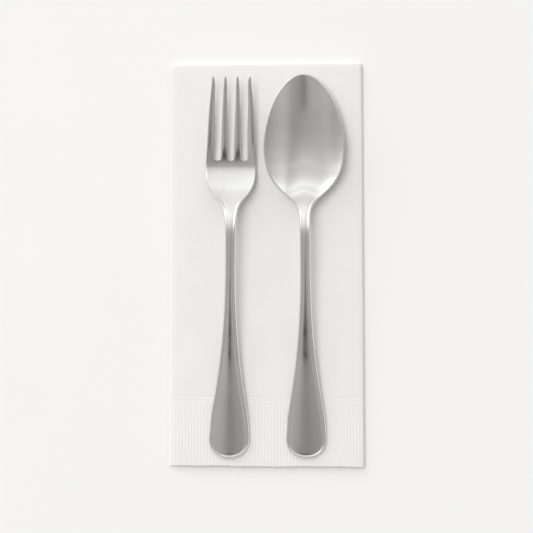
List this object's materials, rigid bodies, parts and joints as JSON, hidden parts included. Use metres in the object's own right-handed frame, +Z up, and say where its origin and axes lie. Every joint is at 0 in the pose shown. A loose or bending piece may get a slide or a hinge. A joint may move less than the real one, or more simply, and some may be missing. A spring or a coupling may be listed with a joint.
{
  "type": "disposable cutlery and napkin set",
  "caption": "Folded paper napkin with a silver-look plastic fork and spoon laid side by side on it.",
  "frame": {"origin": "on the table, under the middle of the folded napkin", "axes": "+Y along the cutlery from the handles to the tines and bowl, +X from the fork to the spoon, +Z up"},
  "size_m": [0.0978, 0.2019, 0.0162],
  "materials": {
    "napkin_paper": "soft matt tissue, embossed band along the near end",
    "silver_plastic": "satin metallised coat on moulded plastic"
  },
  "bodies": {
    "root": {"napkin": "napkin_paper", "fork": "silver_plastic", "spoon": "silver_plastic"}
  },
  "joints": []
}
